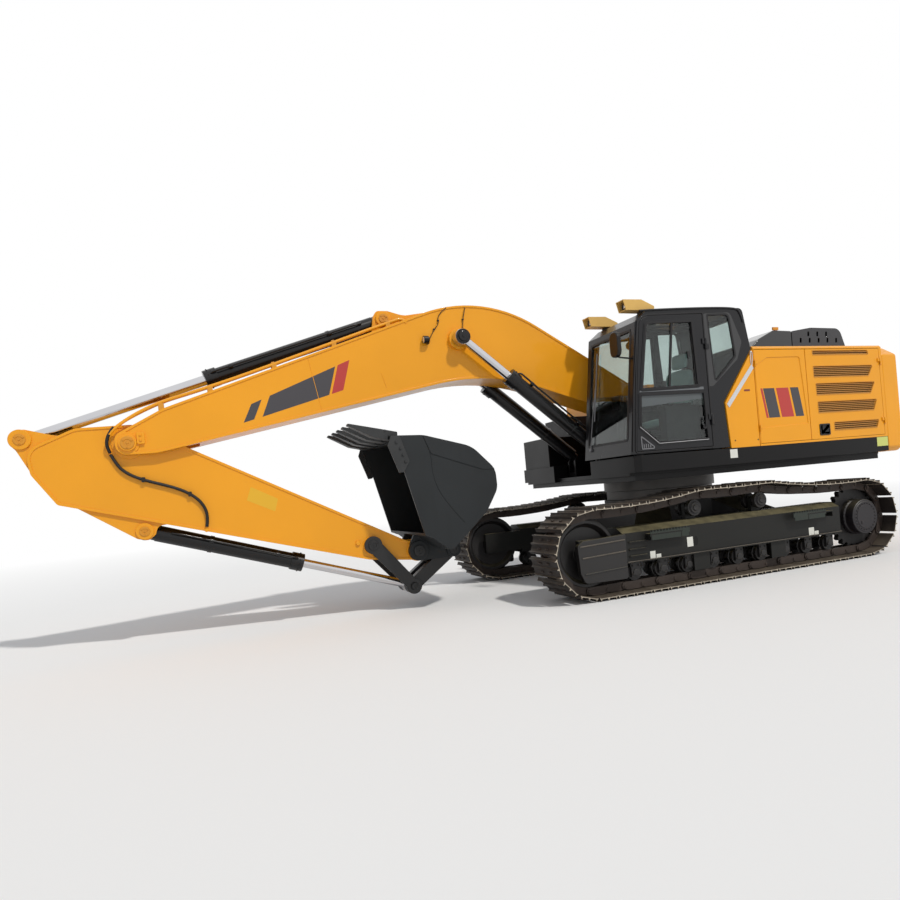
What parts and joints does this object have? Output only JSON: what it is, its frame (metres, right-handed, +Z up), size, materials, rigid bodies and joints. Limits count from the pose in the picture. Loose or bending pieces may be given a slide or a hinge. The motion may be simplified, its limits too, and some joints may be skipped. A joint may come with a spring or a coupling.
{
  "type": "crawler excavator",
  "caption": "Tracked excavator with a swinging upper body, glazed cab, boom, arm and bucket worked by hydraulic cylinders",
  "frame": {"origin": "on the swing axis at ground level, between the tracks, on the plane the shoes stand on", "axes": "+X forward towards the idlers and the boom, +Y to the machine's left where the cab is, +Z up"},
  "size_m": [10.4318, 3.19, 3.41],
  "materials": {
    "bare_iron": "matte",
    "body_black": "satin",
    "body_yellow": "gloss",
    "bucket_grey": "matte",
    "cab_glass": "polished",
    "cab_plastic": "matte",
    "frame_black": "satin",
    "rod_chrome": "polished",
    "seat_fabric": "matte",
    "track_steel": "matte"
  },
  "bodies": {
    "undercarriage": {"carbody": "frame_black", "tow_eyes": "frame_black", "track_frame_left": "frame_black", "track_frame_right": "frame_black", "track_left": "track_steel", "track_right": "track_steel", "front_idlers": "frame_black", "drive_sprockets": "frame_black", "final_drives": "frame_black", "track_rollers": "frame_black", "carrier_rollers": "frame_black", "slew_ring": "bare_iron"},
    "upper": {"upper_frame": "body_black", "counterweight": "body_yellow", "engine_housing": "body_yellow", "left_front_panel": "body_yellow", "engine_block": "bare_iron", "cab_shell": "body_black", "cab_windows": "cab_glass", "operator_seat": "seat_fabric", "cab_controls": "cab_plastic", "fuel_tank": "body_yellow", "hydraulic_tank": "body_yellow", "tool_box": "body_black"},
    "door": {"cab_door": "body_black", "cab_door_glass": "cab_glass"},
    "rear_door": {"louvre_door": "body_yellow"},
    "side_door": {"left_service_door": "body_yellow"},
    "pump_door": {"right_service_door": "body_yellow"},
    "hood": {"engine_hood": "body_black"},
    "boom": {"boom": "body_yellow"},
    "boom_barrels": {"boom_cylinder_barrels": "body_black"},
    "boom_rods": {"boom_cylinder_rods": "rod_chrome"},
    "arm": {"arm": "body_yellow"},
    "arm_barrel": {"arm_cylinder_barrel": "body_black"},
    "arm_rod": {"arm_cylinder_rod": "rod_chrome"},
    "bucket": {"bucket": "bucket_grey", "bucket_teeth": "bucket_grey"},
    "bucket_barrel": {"bucket_cylinder_barrel": "body_black"},
    "bucket_rod": {"bucket_cylinder_rod": "rod_chrome"},
    "rockers": {"rocker_links": "body_black"},
    "power_link": {"bucket_link": "body_black"}
  },
  "joints": [
    {"name": "swing", "type": "hinge", "parent": "undercarriage", "child": "upper", "pos_m": [0, 0, 1.2], "axis": [0, 0, 1], "continuous": true},
    {"name": "boom_lift", "type": "hinge", "parent": "upper", "child": "boom", "pos_m": [0.12, 0, 2.05], "axis": [0, -1, 0], "range_deg": [-38, 55]},
    {"name": "arm_reach", "type": "hinge", "parent": "boom", "child": "arm", "pos_m": [6.252, 0, 2.017], "axis": [0, 1, 0], "range_deg": [-122, 5]},
    {"name": "bucket_curl", "type": "hinge", "parent": "arm", "child": "bucket", "pos_m": [3.45, 0, 0.64], "axis": [0, 1, 0], "range_deg": [-140, 8]},
    {"name": "boom_barrel_turn", "type": "hinge", "parent": "upper", "child": "boom_barrels", "pos_m": [0.95, 0, 1.5], "axis": [0, -1, 0], "range_deg": [-40.4, 58.25]},
    {"name": "boom_rod_slide", "type": "slide", "parent": "boom_barrels", "child": "boom_rods", "axis": [0.7695, 0, 0.6386], "range_m": [-0.6025, 0.8702]},
    {"name": "arm_barrel_turn", "type": "hinge", "parent": "boom", "child": "arm_barrel", "pos_m": [3.6, 0, 3.268], "axis": [0, 1, 0], "range_deg": [-11.48, 0.95]},
    {"name": "arm_rod_slide", "type": "slide", "parent": "arm_barrel", "child": "arm_rod", "axis": [0.9506, 0, -0.3104], "range_m": [-1.59, 0.069]},
    {"name": "rocker_turn", "type": "hinge", "parent": "arm", "child": "rockers", "pos_m": [3.954, 0, 0.758], "axis": [0, 1, 0], "range_deg": [-81.59, 5.13]},
    {"name": "power_link_turn", "type": "hinge", "parent": "rockers", "child": "power_link", "pos_m": [3.534, 0, 0.251], "axis": [0, 1, 0], "range_deg": [-3.32, 49.77]},
    {"name": "bucket_barrel_turn", "type": "hinge", "parent": "arm", "child": "bucket_barrel", "pos_m": [6.182, 0, 1.151], "axis": [0, 1, 0], "range_deg": [-10.24, 1.06]},
    {"name": "bucket_rod_slide", "type": "slide", "parent": "bucket_barrel", "child": "bucket_rod", "axis": [-0.9468, 0, -0.3218], "range_m": [-0.7642, 0.0474]},
    {"name": "cab_door_hinge", "type": "hinge", "parent": "upper", "child": "door", "pos_m": [0.247, 1.478, 2.2], "axis": [0, 0, 1], "range_deg": [0, 165]},
    {"name": "rear_door_hinge", "type": "hinge", "parent": "upper", "child": "rear_door", "pos_m": [-2.513, 1.484, 2.1], "axis": [0, 0, 1], "range_deg": [0, 120]},
    {"name": "side_door_hinge", "type": "hinge", "parent": "upper", "child": "side_door", "pos_m": [-0.445, 1.484, 2.1], "axis": [0, 0, 1], "range_deg": [-110, 0]},
    {"name": "pump_door_hinge", "type": "hinge", "parent": "upper", "child": "pump_door", "pos_m": [-2.513, -1.484, 2.1], "axis": [0, 0, -1], "range_deg": [0, 120]},
    {"name": "hood_hinge", "type": "hinge", "parent": "upper", "child": "hood", "pos_m": [-1.322, 0.07, 2.675], "axis": [0, 1, 0], "range_deg": [0, 70]}
  ],
  "couplings": [
    {"joint": "boom_barrel_turn", "follows": "boom_lift", "ratio": 1.05},
    {"joint": "boom_rod_slide", "follows": "boom_lift", "m_per_rad": 0.90241},
    {"joint": "arm_barrel_turn", "follows": "arm_reach", "ratio": 0.09},
    {"joint": "arm_rod_slide", "follows": "arm_reach", "m_per_rad": 0.74485},
    {"joint": "rocker_turn", "follows": "bucket_curl", "ratio": 0.5792},
    {"joint": "power_link_turn", "follows": "bucket_curl", "ratio": -0.3519},
    {"joint": "bucket_barrel_turn", "follows": "bucket_curl", "ratio": 0.0696},
    {"joint": "bucket_rod_slide", "follows": "bucket_curl", "m_per_rad": 0.31112}
  ]
}
